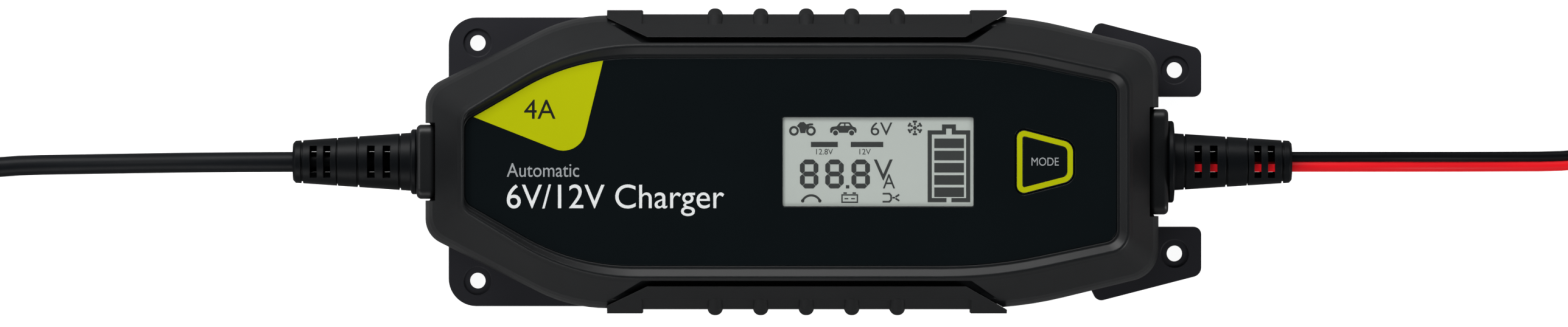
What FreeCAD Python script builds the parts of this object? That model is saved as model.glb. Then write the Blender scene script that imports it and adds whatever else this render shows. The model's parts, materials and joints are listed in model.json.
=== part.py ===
import FreeCAD
import Part
import Sketcher

import math
import os

# A four-ampere battery charger in a sealed plastic case, with its mains cord
# and its two-core battery lead. Millimetres, +X towards the battery lead,
# +Z up, z = 0 on the underside, origin under the middle of the case.

Vector = FreeCAD.Vector
DOC = FreeCAD.newDocument("BatteryCharger")
SHEET = DOC.addObject("Spreadsheet::Sheet", "Sizes")

SIZES = {
    # case, seen from above
    "case_left": -105.8, "case_right": 105.6, "case_half_width": 42.3,
    "nose_corner_y": 21.2, "nose_shoulder_x": -63.8,
    "tail_shoulder_x": 65.4, "tail_corner_y": 32.5,
    # levels of the case
    "floor_level": 2.6, "split_level": 22.0, "shoulder_level": 27.0,
    "crest_level": 44.0, "rim_level": 42.4, "ceiling_level": 39.6,
    "wall": 3.6, "end_wall": 7.2, "base_draft": 2.6,
    # raised panel and its overlay
    "panel_left": -93.9, "panel_right": 92.9, "panel_half_width": 29.9,
    "panel_thickness": 0.5, "panel_recess": 0.6, "rim_width": 0.9,
    "window_left": -2.8, "window_right": 51.8, "window_half_height": 12.75,
    # mode key
    "key_left": 64.0, "key_right": 80.5, "key_left_half": 9.8, "key_right_half": 5.5,
    "key_gap": 0.3, "key_ring": 1.8,
    # mounting ears
    "ear_thickness": 4.0, "nose_ear_x": -91.4, "nose_ear_y": 34.6,
    "tail_ear_x": 111.1, "tail_ear_y": 26.7, "ear_hole": 4.6,
    "ear_spot": 8.2, "ear_spot_depth": 0.5,
    # side grips
    "grip_inner": 35.7, "grip_outer": 43.7, "grip_rib_outer": 44.2,
    "grip_dip_inner": 39.6, "grip_dip_outer": 42.5, "rib_width": 4.4, "rib_pitch": 13.1,
    # cable entries
    "cord_level": 22.0, "boot_end": 143.9, "boot_start": 108.1,
    "mains_cord_size": 5.8, "lead_size": 5.8, "boot_bore": 6.2,
    # boards
    "main_board_level": 7.0, "main_board_length": 148.0, "main_board_width": 56.0,
    "board_thickness": 1.6, "display_board_level": 32.0,
    "display_board_length": 104.0, "display_board_width": 34.0,
    "mains_gland_half": 10.7, "lead_gland_half": 15.2, "gland_bottom": 12.5,
    "gland_top": 31.5, "gland_seat": 102.6, "gland_face": 108.1, "neck_size": 11.0,
    # screws and seal
    "case_screw_head": 6.6, "screw_clearance": 3.8, "screw_head_level": 9.0,
    "board_hole": 3.2, "board_pilot": 2.4,
    "seal_height": 1.6,
    # coils of the cords that are put away
    "coil_lift": 0.9, "coil_layers": 2.0,
}


def fill_sheet():
    """Write every driving size to the sheet as a plain number with an alias."""
    for row, (alias, value) in enumerate(SIZES.items(), start=1):
        SHEET.set(f"A{row}", alias)
        SHEET.set(f"B{row}", str(value))
        SHEET.setAlias(f"B{row}", alias)
    DOC.recompute()


def size(alias):
    return float(SHEET.get(alias))


# ---------------------------------------------------------------- outlines

def both_sides(half):
    """A closed outline from its upper half, listed from left to right."""
    return half + [(x, -y, r) for x, y, r in reversed(half)]


def inset(points, sides, ends=None):
    """Move every edge of a clockwise outline inwards; the end edges by 'ends'."""
    ends = sides if ends is None else ends
    lines = []
    for index, (x, y, _) in enumerate(points):
        next_x, next_y, _ = points[(index + 1) % len(points)]
        run = Vector(next_x - x, next_y - y, 0)
        run.normalize()
        shift = ends if abs(run.x) < 1e-6 else sides
        inward = Vector(run.y, -run.x, 0) * shift
        lines.append((Vector(x, y, 0) + inward, run))
    moved = []
    for index, (_, _, radius) in enumerate(points):
        base_a, run_a = lines[index - 1]
        base_b, run_b = lines[index]
        across = run_a.x * run_b.y - run_a.y * run_b.x
        gap = base_b - base_a
        step = (gap.x * run_b.y - gap.y * run_b.x) / across
        corner = base_a + run_a * step
        moved.append((corner.x, corner.y, max(radius - sides, 0.6) if radius else 0))
    return moved


def outline(points):
    """Line and arc geometry for a closed outline of (x, y, corner radius)."""
    starts, ends, arcs = [], [], []
    count = len(points)
    for index, (x, y, radius) in enumerate(points):
        corner = Vector(x, y, 0)
        before = Vector(*points[index - 1][:2], 0) - corner
        after = Vector(*points[(index + 1) % count][:2], 0) - corner
        before.normalize()
        after.normalize()
        if not radius:
            starts.append(corner)
            ends.append(corner)
            arcs.append(None)
            continue
        half_turn = (math.pi - before.getAngle(after)) / 2
        reach = radius * math.tan(half_turn)
        bisector = before + after
        bisector.normalize()
        middle = corner + bisector * (radius / math.cos(half_turn) - radius)
        starts.append(corner + before * reach)
        ends.append(corner + after * reach)
        arcs.append(middle)
    geometry = []
    for index in range(count):
        if arcs[index]:
            geometry.append(Part.Arc(starts[index], arcs[index], ends[index]))
        following = starts[(index + 1) % count]
        if (following - ends[index]).Length > 1e-6:
            geometry.append(Part.LineSegment(ends[index], following))
    return geometry


def between(first, second, share):
    """The outline part of the way from one outline to another."""
    return [tuple(a + (b - a) * share for a, b in zip(corner, other))
            for corner, other in zip(first, second)]


def rectangle(left, right, bottom, top, radius=0.0):
    return [(left, bottom, radius), (left, top, radius),
            (right, top, radius), (right, bottom, radius)]


def case_outline():
    return both_sides([
        (size("case_left"), size("nose_corner_y"), 7.6),
        (size("nose_shoulder_x"), size("case_half_width"), 45.0),
        (size("tail_shoulder_x"), size("case_half_width"), 110.0),
        (size("case_right"), size("tail_corner_y"), 9.0)])


def crest_outline():
    side = size("panel_half_width") + 3.8
    return both_sides([
        (size("panel_left") - 0.9, 13.9, 5.0),
        (-62.5, side, 66.0),
        (57.8, side, 140.0),
        (size("panel_right") + 3.6, 25.3, 6.0)])


def panel_outline():
    return both_sides([
        (size("panel_left"), 11.7, 4.0),
        (-62.2, size("panel_half_width"), 62.0),
        (57.3, size("panel_half_width"), 130.0),
        (size("panel_right"), 22.4, 3.8)])


def key_outline():
    return both_sides([
        (size("key_left"), size("key_left_half"), 2.3),
        (size("key_right"), size("key_right_half"), 3.5)])


# ------------------------------------------------------- document helpers

def new_body(label):
    body = DOC.addObject("PartDesign::Body", label)
    body.Label = label
    return body


def new_sketch(body, name, role, level, geometry):
    """A sketch on one of the body's origin planes, moved along its normal."""
    sketch = body.newObject("Sketcher::SketchObject", name)
    plane = [item for item in body.Origin.OriginFeatures if item.Role == role][0]
    sketch.AttachmentSupport = [(plane, "")]
    sketch.MapMode = "FlatFace"
    sketch.setExpression("AttachmentOffset.Base.z", level)
    sketch.addGeometry(geometry, False)
    return sketch


def feature(body, kind, name, sketch, length=None, reverse=False):
    """A Pad or Pocket whose length is bound to the sheet."""
    item = body.newObject(f"PartDesign::{kind}", name)
    item.Profile = sketch
    if length:
        item.setExpression("Length", length)
    item.Reversed = reverse
    return item


def pad(body, name, points, level, length, reverse=False):
    sketch = new_sketch(body, name + "_sketch", "XY_Plane", level, outline(points))
    return feature(body, "Pad", name, sketch, length, reverse)


def pocket(body, name, points, level, depth):
    """Cut downwards from a level, and make sure that it did cut."""
    DOC.recompute()
    volume = body.Shape.Volume
    sketch = new_sketch(body, name + "_sketch", "XY_Plane", level, outline(points))
    item = feature(body, "Pocket", name, sketch, depth)
    DOC.recompute()
    if body.Shape.Volume > volume - 0.01:
        raise ValueError(f"{name} cut nothing")
    return item


def circle(centre_x, centre_y, radius):
    return Part.Circle(Vector(centre_x, centre_y, 0), Vector(0, 0, 1), radius)


def drill(body, name, centres, diameter, level, depth):
    """Round holes of one size cut downwards from a level."""
    DOC.recompute()
    volume = body.Shape.Volume
    rings = [circle(x, y, size(diameter) / 2) for x, y in centres]
    sketch = new_sketch(body, name + "_sketch", "XY_Plane", level, rings)
    for index in range(len(rings)):
        added = sketch.addConstraint(
            Sketcher.Constraint("Diameter", index, size(diameter)))
        sketch.setExpression(f"Constraints[{added}]", f"Sizes.{diameter}")
    item = feature(body, "Pocket", name, sketch, depth)
    DOC.recompute()
    if body.Shape.Volume > volume - 0.01:
        raise ValueError(f"{name} cut nothing")
    return item


def loft(body, name, sections, cut=False):
    """A ruled loft through (outline, level expression) sections."""
    sketches = []
    for index, (points, level) in enumerate(sections):
        sketches.append(new_sketch(body, f"{name}_section_{index}", "XY_Plane",
                                   level, outline(points)))
    kind = "SubtractiveLoft" if cut else "AdditiveLoft"
    item = body.newObject(f"PartDesign::{kind}", name)
    item.Profile = sketches[0]
    item.Sections = sketches[1:]
    item.Ruled = True
    return item


# -------------------------------------------------- solids outside a body

def named(kind, label):
    item = DOC.addObject(kind, label)
    item.Label = label
    return item


def box(label, low, high):
    """A Part::Box between two corners; each corner value is a number or an expression."""
    item = named("Part::Box", label)
    for axis, prop, start, end in zip("xyz", ("Length", "Width", "Height"), low, high):
        item.setExpression(f"Placement.Base.{axis}", f"{start}")
        item.setExpression(prop, f"({end}) - ({start})")
    return item


def cylinder(label, centre, diameter, height, axis=Vector(0, 0, 1)):
    item = named("Part::Cylinder", label)
    item.setExpression("Radius", f"({diameter}) / 2")
    item.setExpression("Height", f"{height}")
    item.Placement = FreeCAD.Placement(Vector(*centre),
                                       FreeCAD.Rotation(Vector(0, 0, 1), axis))
    return item


def cut(label, base, tool):
    item = named("Part::Cut", label)
    item.Base = base
    item.Tool = tool
    return item


def fuse(label, shapes):
    item = named("Part::MultiFuse", label)
    item.Shapes = shapes
    return item


def group(label, items):
    """Separate solids of one kind kept in one node."""
    item = named("Part::Compound", label)
    item.Links = items
    return item


def made(label, shape):
    """A solid made with Part's own functions."""
    item = named("Part::Feature", label)
    item.Shape = shape
    return item


def prism(points, low, high):
    """An upright prism over an outline."""
    face = Part.Face(Part.Wire([edge.toShape() for edge in outline(points)]))
    face.translate(Vector(0, 0, low))
    return face.extrude(Vector(0, 0, high - low))


def bar(profile, left, right):
    """A bar along X with a (y, z) profile."""
    corners = [Vector(left, y, z) for y, z in profile]
    face = Part.Face(Part.makePolygon(corners + corners[:1]))
    return face.extrude(Vector(right - left, 0, 0))


def other_side(shape):
    return shape.mirror(Vector(0, 0, 0), Vector(0, 1, 0))


# places that are well clear of the case: above it, past its ends and sides, and
# inside its end walls
ABOVE = 60.0
BEYOND_END = 120.0
BESIDE = 60.0
INSIDE_END = 90.0


# ------------------------------------------------------------ side grips

GRIP_LOW = 8.0
GRIP_TOP_SLOPE = 1.6
GRIP_TOP = 41.2
GROOVE = 1.6
GROOVE_FLOOR = 33.5
GRIP_FIT = 0.1
# the dipped middle between the end blocks: from and to in x, and how deep
GRIP_DIP = (-43.2, 51.4)
GRIP_DIP_DEPTH = 1.6
GRIP_MIDDLE = 4.0
RIB_COUNT = 5
RIB_ROUNDING = 2.0
RECESS_DEPTH = 1.4
# the seat's floor leans in from this (y, z) knee to this height at the groove
SEAT_KNEE = (39.4, 30.5)
SEAT_TOP = 39.8


def grip_plan(margin):
    """The grip seen from above: a long bar whose ends are cut on the slant."""
    inner = size("grip_inner") - margin
    outer = size("grip_outer") + 6
    return [(-53.3 - margin, outer, 0), (61.7 + margin, outer, 0),
            (61.7 + margin, 42.6, 0), (49.6 + margin, inner, 0),
            (-41.5 - margin, inner, 0), (-53.3 - margin, 41.4, 0)]


def recess_profile():
    """The floor that the grip lies on, as the (y, z) section of what is removed."""
    wall = size("case_half_width") - RECESS_DEPTH
    inner = size("grip_inner") - GROOVE
    return [(wall, GRIP_LOW - 0.5), (wall, size("shoulder_level")), SEAT_KNEE,
            (inner, SEAT_TOP), (inner, ABOVE), (BESIDE, ABOVE), (BESIDE, GRIP_LOW - 0.5)]


def grip_recess():
    """The seat, a close fit low down, with an open groove round the grip's top."""
    seat = prism(grip_plan(GRIP_FIT), 0, ABOVE)
    groove = prism(grip_plan(GROOVE), GROOVE_FLOOR, ABOVE)
    return seat.fuse(groove).common(bar(recess_profile(), -INSIDE_END, INSIDE_END))


def grip_shape():
    """One grip on the +Y side: two end blocks, a dipped middle and five ribs."""
    inner, outer = size("grip_inner"), size("grip_outer")
    wall = size("case_half_width") - RECESS_DEPTH
    lean = (SEAT_TOP - SEAT_KNEE[1]) / (SEAT_KNEE[0] - inner + GROOVE)
    seat = SEAT_KNEE[1] + lean * (SEAT_KNEE[0] - inner)
    knee = GRIP_TOP - GRIP_TOP_SLOPE * (outer - inner)
    block = [(inner, seat), (inner, GRIP_TOP), (outer, knee), (outer, GRIP_LOW),
             (wall, GRIP_LOW), (wall, size("shoulder_level")), SEAT_KNEE]
    grip = prism(grip_plan(0), 0, ABOVE).common(bar(block, -INSIDE_END, INSIDE_END))
    dip_inner, dip_outer = size("grip_dip_inner"), size("grip_dip_outer")
    ledge = GRIP_TOP - GRIP_TOP_SLOPE * (dip_inner - inner)
    low_ledge = ledge - GRIP_DIP_DEPTH
    dip = [(dip_inner, ABOVE), (dip_inner, low_ledge),
           (dip_outer, low_ledge - GRIP_TOP_SLOPE * (dip_outer - dip_inner)),
           (dip_outer, 0), (BESIDE, 0), (BESIDE, ABOVE)]
    grip = grip.cut(bar(dip, *GRIP_DIP))
    rib_outer = size("grip_rib_outer")
    rib = [(dip_inner - 0.2, low_ledge - 1), (dip_inner - 0.2, ledge + 0.4),
           (rib_outer - 1.6, ledge - 3.4), (rib_outer, ledge - 6.4),
           (rib_outer, GRIP_LOW + 2), (dip_outer - 0.6, GRIP_LOW + 0.5),
           (dip_outer - 0.6, 24)]
    half = size("rib_width") / 2
    for index in range(RIB_COUNT):
        middle = GRIP_MIDDLE + (index - RIB_COUNT // 2) * size("rib_pitch")
        ridge = bar(rib, middle - half, middle + half)
        edges = [edge for edge in ridge.Edges if edge.BoundBox.XLength < 0.01
                 and edge.BoundBox.YMax > rib_outer - 1.7
                 and edge.BoundBox.ZMin > GRIP_LOW + 1]
        grip = grip.fuse(ridge.makeFillet(RIB_ROUNDING, edges))
    return grip.removeSplitter()


# ------------------------------------------------------------ case shells

CASE_SCREWS = [(-76.0, 18.3), (-76.0, -18.3), (84.0, 22.0), (84.0, -22.0)]
# the flank's curve: how far it has come in towards the crest, how far below it
CASE_FLANK = [(0.02, 18.4), (0.06, 16.4), (0.13, 14.0), (0.22, 11.8),
              (0.90, 1.6), (0.97, 0.7), (1.0, 0.25)]
BOARD_SCREWS = [(-64.0, 23.0), (-64.0, -23.0), (72.0, 23.0), (72.0, -23.0)]
SEAL_INSET = 2.3
SEAL_WIDTH = 0.8
# turns a drawing's x and y into Y and Z
ACROSS_X = FreeCAD.Rotation(Vector(0, 1, 0), Vector(0, 0, 1), Vector(1, 0, 0), "ZXY")


GLAND_ROUNDING = 1.4
GLAND_FIT = 0.5
# the strain relief's collar behind the end wall: from and to in x, and radius
COLLAR = (95.6, 98.0, 7.4)


def gland_block(low, high, half, margin):
    """A rounded block around a cable entry, between two planes across X."""
    bottom = size("gland_bottom") - margin
    top = size("gland_top") + margin
    corners = rectangle(-half, half, bottom, top, 3.0 + margin)
    face = Part.Face(Part.Wire([edge.toShape() for edge in outline(corners)]))
    face.Placement = FreeCAD.Placement(Vector(low, 0, 0), ACROSS_X)
    return face.extrude(Vector(high - low, 0, 0))


def entry_spaces():
    """What the glands, the necks and the collars take out of the case and its seal."""
    spaces = []
    for side, half in ((-1, size("mains_gland_half")), (1, size("lead_gland_half"))):
        low, high = sorted((side * size("gland_seat"), side * BEYOND_END))
        room = half + GLAND_FIT
        spaces.append(gland_block(low, high, room, GLAND_FIT))
        spaces.append(prism(rectangle(low, high, -room, room), size("shoulder_level"), ABOVE))
        inside = Vector(side * INSIDE_END, 0, size("cord_level"))
        outwards = Vector(side, 0, 0)
        spaces.append(Part.makeCylinder(size("neck_size") / 2 + 0.05, 40, inside, outwards))
        reach = COLLAR[1] + 0.05 - INSIDE_END
        spaces.append(Part.makeCylinder(COLLAR[2] + 0.05, reach, inside, outwards))
    return spaces


def lower_case():
    body = new_body("lower_case_shell")
    case = case_outline()
    draft = size("base_draft")
    loft(body, "outside", [(inset(case, draft + 1.2), "0"),
                           (inset(case, draft), "1.2"),
                           (case, "Sizes.split_level")])
    nose = [(size("nose_ear_x") - 8.4, 42.0, 8.0), (-58.0, 42.0, 0),
            (-40.0, 30.0, 0)]
    pad(body, "nose_ears", both_sides(nose), "0", "Sizes.ear_thickness")
    for name, side in (("back", 1), ("front", -1)):
        ear = [(80.0, 18.9, 0), (80.0, 33.0, 0), (86.0, 35.4, 2.0), (88.6, 40.7, 2.2),
               (118.8, 32.9, 2.8), (118.8, 18.9, 2.2)]
        points = [(x, side * y, r) for x, y, r in ear]
        pad(body, f"tail_ear_{name}", points, "0", "Sizes.ear_thickness")
    wall, end_wall = size("wall"), size("end_wall")
    loft(body, "hollow", [(inset(case, wall + draft, end_wall + draft), "Sizes.floor_level"),
                          (inset(case, wall, end_wall), "Sizes.split_level")], cut=True)
    posts = [circle(x, y, 4.0) for x, y in CASE_SCREWS]
    sketch = new_sketch(body, "screw_posts_sketch", "XY_Plane", "Sizes.floor_level", posts)
    feature(body, "Pad", "screw_posts", sketch, "Sizes.split_level - Sizes.floor_level - 0.4")
    pillars = [circle(x, y, 3.2) for x, y in BOARD_SCREWS]
    sketch = new_sketch(body, "pillars_sketch", "XY_Plane", "Sizes.floor_level", pillars)
    feature(body, "Pad", "pillars", sketch, "Sizes.main_board_level - Sizes.floor_level")
    drill(body, "screw_holes", CASE_SCREWS, "screw_clearance", "Sizes.split_level", "30")
    drill(body, "pillar_holes", BOARD_SCREWS, "board_pilot", "Sizes.main_board_level", "3.6")
    drill(body, "ear_holes", ear_centres(), "ear_hole", "Sizes.ear_thickness", "6")
    drill(body, "ear_spots", ear_centres(), "ear_spot", "Sizes.ear_thickness",
          "Sizes.ear_spot_depth")
    sketch = new_sketch(body, "head_pockets_sketch", "XY_Plane", "0",
                        [circle(x, y, 3.6) for x, y in CASE_SCREWS])
    feature(body, "Pocket", "head_pockets", sketch, "Sizes.screw_head_level", True)
    seal_groove(body, "Sizes.split_level", False)
    return finish_shell("lower_case", body)


def seal_groove(body, level, upwards):
    """The groove in the split face that holds half of the seal."""
    case = case_outline()
    rings = outline(inset(case, SEAL_INSET)) + outline(inset(case, SEAL_INSET + SEAL_WIDTH))
    sketch = new_sketch(body, "seal_groove_sketch", "XY_Plane", level, rings)
    feature(body, "Pocket", "seal_groove", sketch, "Sizes.seal_height / 2", upwards)


def finish_shell(label, body):
    """Take the grip seats and the cable entries out of a shell."""
    DOC.recompute()
    seats = [grip_recess(), other_side(grip_recess())] + entry_spaces()
    tool = made(label + "_seats", seats[0].multiFuse(seats[1:]))
    return cut(label, body, tool)


def ear_centres():
    nose = [(size("nose_ear_x"), side * size("nose_ear_y")) for side in (1, -1)]
    tail = [(size("tail_ear_x"), side * size("tail_ear_y")) for side in (1, -1)]
    return nose + tail


def upper_case():
    body = new_body("upper_case_shell")
    case, crest, panel = case_outline(), crest_outline(), panel_outline()
    rim = inset(panel, -size("rim_width"))
    flank = [(case, "Sizes.split_level")]
    for share, drop in CASE_FLANK:
        flank.append((between(case, crest, share), f"Sizes.crest_level - {drop}"))
    flank.append((inset(crest, 0.3), "Sizes.crest_level"))
    loft(body, "outside", flank)
    wall, end_wall = size("wall"), size("end_wall")
    loft(body, "hollow", [(inset(case, wall, end_wall), "Sizes.split_level"),
                          (inset(case, wall + 0.4, end_wall), "Sizes.shoulder_level"),
                          (inset(crest, 2.6, 4.0), "Sizes.ceiling_level")], cut=True)
    loft(body, "bezel", [(inset(crest, 0.9), "Sizes.crest_level + 0.02"),
                         (rim, "Sizes.rim_level")], cut=True)
    pocket(body, "panel_recess", panel, "Sizes.rim_level", "Sizes.panel_recess")
    window = rectangle(size("window_left") - 0.5, size("window_right") + 0.5,
                       -size("window_half_height") - 0.5, size("window_half_height") + 0.5)
    pocket(body, "window_opening", window, "Sizes.rim_level", "5")
    pocket(body, "key_opening", inset(key_outline(), -0.6), "Sizes.rim_level", "5")
    posts = [circle(x, y, 4.0) for x, y in CASE_SCREWS]
    sketch = new_sketch(body, "screw_posts_sketch", "XY_Plane", "Sizes.split_level", posts)
    feature(body, "Pad", "screw_posts", sketch, "Sizes.ceiling_level - Sizes.split_level + 0.5")
    sketch = new_sketch(body, "screw_pilots_sketch", "XY_Plane", "Sizes.split_level",
                        [circle(x, y, 1.45) for x, y in CASE_SCREWS])
    feature(body, "Pocket", "screw_pilots", sketch, "14", True)
    seal_groove(body, "Sizes.split_level", True)
    return finish_shell("upper_case", body)


def case_seal():
    """Two strips that end against the glands."""
    body = new_body("seal_strip")
    case = case_outline()
    rings = outline(inset(case, SEAL_INSET)) + outline(inset(case, SEAL_INSET + SEAL_WIDTH))
    sketch = new_sketch(body, "seal_ring_sketch", "XY_Plane",
                        "Sizes.split_level - Sizes.seal_height / 2", rings)
    feature(body, "Pad", "seal_ring", sketch, "Sizes.seal_height")
    spaces = entry_spaces()
    cut("case_seal", body, made("seal_ends", spaces[0].multiFuse(spaces[1:])))


def grips():
    for name, shape in (("back_grip", grip_shape()), ("front_grip", other_side(grip_shape()))):
        made(name, shape)


# ------------------------------------------------- front panel and mode key

def front_panel():
    body = new_body("front_panel")
    level = "Sizes.rim_level - Sizes.panel_recess"
    pad(body, "sheet", inset(panel_outline(), 0.1), level, "Sizes.panel_thickness")
    top = "Sizes.rim_level - Sizes.panel_recess + Sizes.panel_thickness"
    window = rectangle(size("window_left"), size("window_right"),
                       -size("window_half_height"), size("window_half_height"), 0.5)
    pocket(body, "window", window, top, "2")
    pocket(body, "key_opening", inset(key_outline(), -size("key_gap")), top, "2")


def panel_top():
    return size("rim_level") - size("panel_recess") + size("panel_thickness")


def rating_badge():
    """A thin lime sticker that fills the panel's upper left corner."""
    badge = [(-91.9, 13.1, 0), (-92.5, 34.0, 0), (-52.9, 34.0, 0), (-61.0, 0.9, 6.5)]
    corner = prism(badge, panel_top(), panel_top() + 0.1)
    sheet = prism(inset(panel_outline(), 0.35), panel_top(), panel_top() + 0.1)
    made("rating_badge", corner.common(sheet))


def display():
    left, right = size("window_left"), size("window_right")
    half = size("window_half_height")
    body = new_body("lcd_window")
    pad(body, "pane", rectangle(left + 0.05, right - 0.05, 0.05 - half, half - 0.05, 0.5),
        "Sizes.rim_level - Sizes.panel_recess", "Sizes.panel_thickness - 0.05")
    body = new_body("lcd_cell")
    pad(body, "glass", rectangle(left - 0.4, right + 0.4, -half - 0.4, half + 0.4, 0),
        "Sizes.ceiling_level + 0.4", "1.75")
    body = new_body("lcd_holder")
    pad(body, "block", rectangle(left - 2.0, right + 2.0, -half - 1.6, half + 1.6, 1.0),
        "Sizes.display_board_level + Sizes.board_thickness", "5.6")
    pocket(body, "light_box", rectangle(left + 1, right - 1, 1 - half, half - 1, 0),
           "Sizes.ceiling_level - 0.2", "4.2")
    body = new_body("lcd_diffuser")
    pad(body, "sheet", rectangle(left + 1.2, right - 1.2, 1.2 - half, half - 1.2, 0),
        "Sizes.ceiling_level - 4.2", "3.8")


def mode_key():
    body = new_body("mode_button")
    key = key_outline()
    pad(body, "flange", inset(key, -1.3), "Sizes.ceiling_level - 1.3", "1.2")
    pad(body, "cap", inset(key, 0.6), "Sizes.ceiling_level - 0.2", "2.2")
    pad(body, "face", key, "Sizes.rim_level - 1.2", "1.3")
    rings = outline(inset(key, 0.25)) + outline(inset(key, size("key_ring")))
    sketch = new_sketch(body, "ring_groove_sketch", "XY_Plane", "Sizes.rim_level + 0.1", rings)
    feature(body, "Pocket", "ring_groove", sketch, "0.4")
    middle = (size("key_left") + size("key_right")) / 2
    sketch = new_sketch(body, "stem_sketch", "XY_Plane", "Sizes.ceiling_level - 1.3",
                        [circle(middle, 0, 2.0)])
    feature(body, "Pad", "stem", sketch, "0.4", True)
    body = new_body("mode_ring")
    sketch = new_sketch(body, "ring_sketch", "XY_Plane", "Sizes.rim_level - 0.3", rings)
    feature(body, "Pad", "ring", sketch, "0.4")
    switch = new_body("key_switch")
    pad(switch, "case", rectangle(middle - 3, middle + 3, -3, 3, 0.4),
        "Sizes.display_board_level + Sizes.board_thickness", "3.4")
    pocket(switch, "bore", rectangle(middle - 1.8, middle + 1.8, -1.8, 1.8, 1.79),
           "Sizes.display_board_level + Sizes.board_thickness + 3.4", "2.4")
    plunger = new_body("switch_plunger")
    sketch = new_sketch(plunger, "plunger_sketch", "XY_Plane", "Sizes.ceiling_level - 3.9",
                        [circle(middle, 0, 1.7)])
    feature(plunger, "Pad", "plunger", sketch, "2.15")


# ------------------------------------------------------- cable entries

def gland(label, side, half):
    """The clamp plate that holds a strain relief in the end wall."""
    seat, face = side * size("gland_seat"), side * size("gland_face")
    low, high = sorted((seat + side * 0.2, face))
    block = gland_block(low, high, half, 0)
    block = block.makeFillet(GLAND_ROUNDING, block.Edges)
    bore = Part.makeCylinder(size("neck_size") / 2 + 0.05, 20,
                             Vector(side * 95.0, 0, size("cord_level")), Vector(side, 0, 0))
    made(label, block.cut(bore))


# a strain relief's ring grooves and windows: distance from its tip, width
BOOT_GROOVES = [(31.1, 0.5), (19.1, 0.6), (12.9, 0.35), (2.9, 0.6)]
BOOT_WINDOWS = [(5.0, 2.0), (8.9, 2.0), (21.6, 2.1), (26.1, 2.1)]
BOOT_WINDOW_HALF = 4.6
BOOT_TIP_HALF = 6.05


def boot(label, side, flange_half, root_half):
    """A tapered strain relief: flange, neck through the wall, ribs and windows."""
    body = new_body(label)
    bore = size("boot_bore") / 2
    start, end = size("boot_start"), size("boot_end")

    def half_at(position):
        share = (end - position) / (end - start - 1.8)
        return BOOT_TIP_HALF + (root_half - BOOT_TIP_HALF) * share

    neck = size("neck_size") / 2
    inside, outside, collar = COLLAR
    profile = [(inside, bore), (inside, collar), (outside, collar), (outside, neck), (start, neck),
               (start, flange_half - 0.4), (start + 0.4, flange_half),
               (start + 1.4, flange_half), (start + 1.8, flange_half - 0.4),
               (start + 1.8, half_at(start + 1.8))]
    for from_end, width in BOOT_GROOVES:
        position = end - from_end
        profile += [(position, half_at(position)), (position, half_at(position) - 0.6),
                    (position + width, half_at(position) - 0.6),
                    (position + width, half_at(position + width))]
    profile += [(end - 0.7, half_at(end - 0.7)), (end, half_at(end) - 0.7), (end, bore)]
    points = [Vector(side * x, r, 0) for x, r in profile]
    lines = [Part.LineSegment(points[i - 1], points[i]) for i in range(len(points))]
    sketch = new_sketch(body, "profile", "XY_Plane", "0", lines)
    turned = body.newObject("PartDesign::Revolution", "turned")
    turned.Profile = sketch
    turned.ReferenceAxis = (sketch, ["H_Axis"])
    turned.Angle = 360
    windows = []
    for position, width in BOOT_WINDOWS:
        near, far = sorted((side * (end - position), side * (end - position - width)))
        windows.append(rectangle(near, far, -BOOT_WINDOW_HALF, BOOT_WINDOW_HALF))
    edges = [edge for points in windows for edge in outline(points)]
    for name, side_level, upwards in (("top", "1", True), ("bottom", "-1", False)):
        sketch = new_sketch(body, f"{name}_windows_sketch", "XY_Plane", side_level, edges)
        feature(body, "Pocket", f"{name}_windows", sketch, "20", upwards)
    body.setExpression("Placement.Base.z", "Sizes.cord_level")


# --------------------------------------------------------------- cords

def rounded_path(route):
    """Straight runs joined by tangent arcs, each as large as its two runs allow."""
    points = [Vector(*point) for point in route]
    edges, radii = [], []
    last = points[0]
    for before, corner, after in zip(points, points[1:], points[2:]):
        back, ahead = before - corner, after - corner
        shorter = min(back.Length, ahead.Length)
        half_turn = (math.pi - back.getAngle(ahead)) / 2
        radius = 0.45 * shorter / math.tan(half_turn)
        back.normalize()
        ahead.normalize()
        reach = 0.45 * shorter
        bisector = back + ahead
        bisector.normalize()
        middle = corner + bisector * (radius / math.cos(half_turn) - radius)
        entry, leave = corner + back * reach, corner + ahead * reach
        edges.append(Part.LineSegment(last, entry).toShape())
        edges.append(Part.Arc(entry, middle, leave).toShape())
        radii.append(radius)
        last = leave
    edges.append(Part.LineSegment(last, points[-1]).toShape())
    return Part.Wire(edges), radii


def tube(label, routes, diameter):
    """A node of round cords, one solid for each route."""
    solids = []
    for route in routes:
        wire, radii = rounded_path(route)
        first = Vector(*route[0])
        ring = Part.Wire(Part.makeCircle(diameter / 2, first, Vector(*route[1]) - first))
        solid = wire.makePipeShell([ring], True, False)
        ideal = math.pi * diameter ** 2 / 4 * wire.Length
        print(f"{label}: length {wire.Length:.1f}, volume {solid.Volume / ideal:.4f} of ideal, "
              f"radii {', '.join(f'{radius:.0f}' for radius in radii)}")
        solids.append(Part.Solid(solid) if solid.ShapeType == "Shell" else solid)
    made(label, solids[0] if len(solids) == 1 else Part.makeCompound(solids))


# the put-away coils: centre, radius of the outermost turn's middle line
MAINS_COIL = (-295.0, 16.0, 42.1)
LEAD_COIL = (287.0, -12.0, 37.0)

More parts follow.
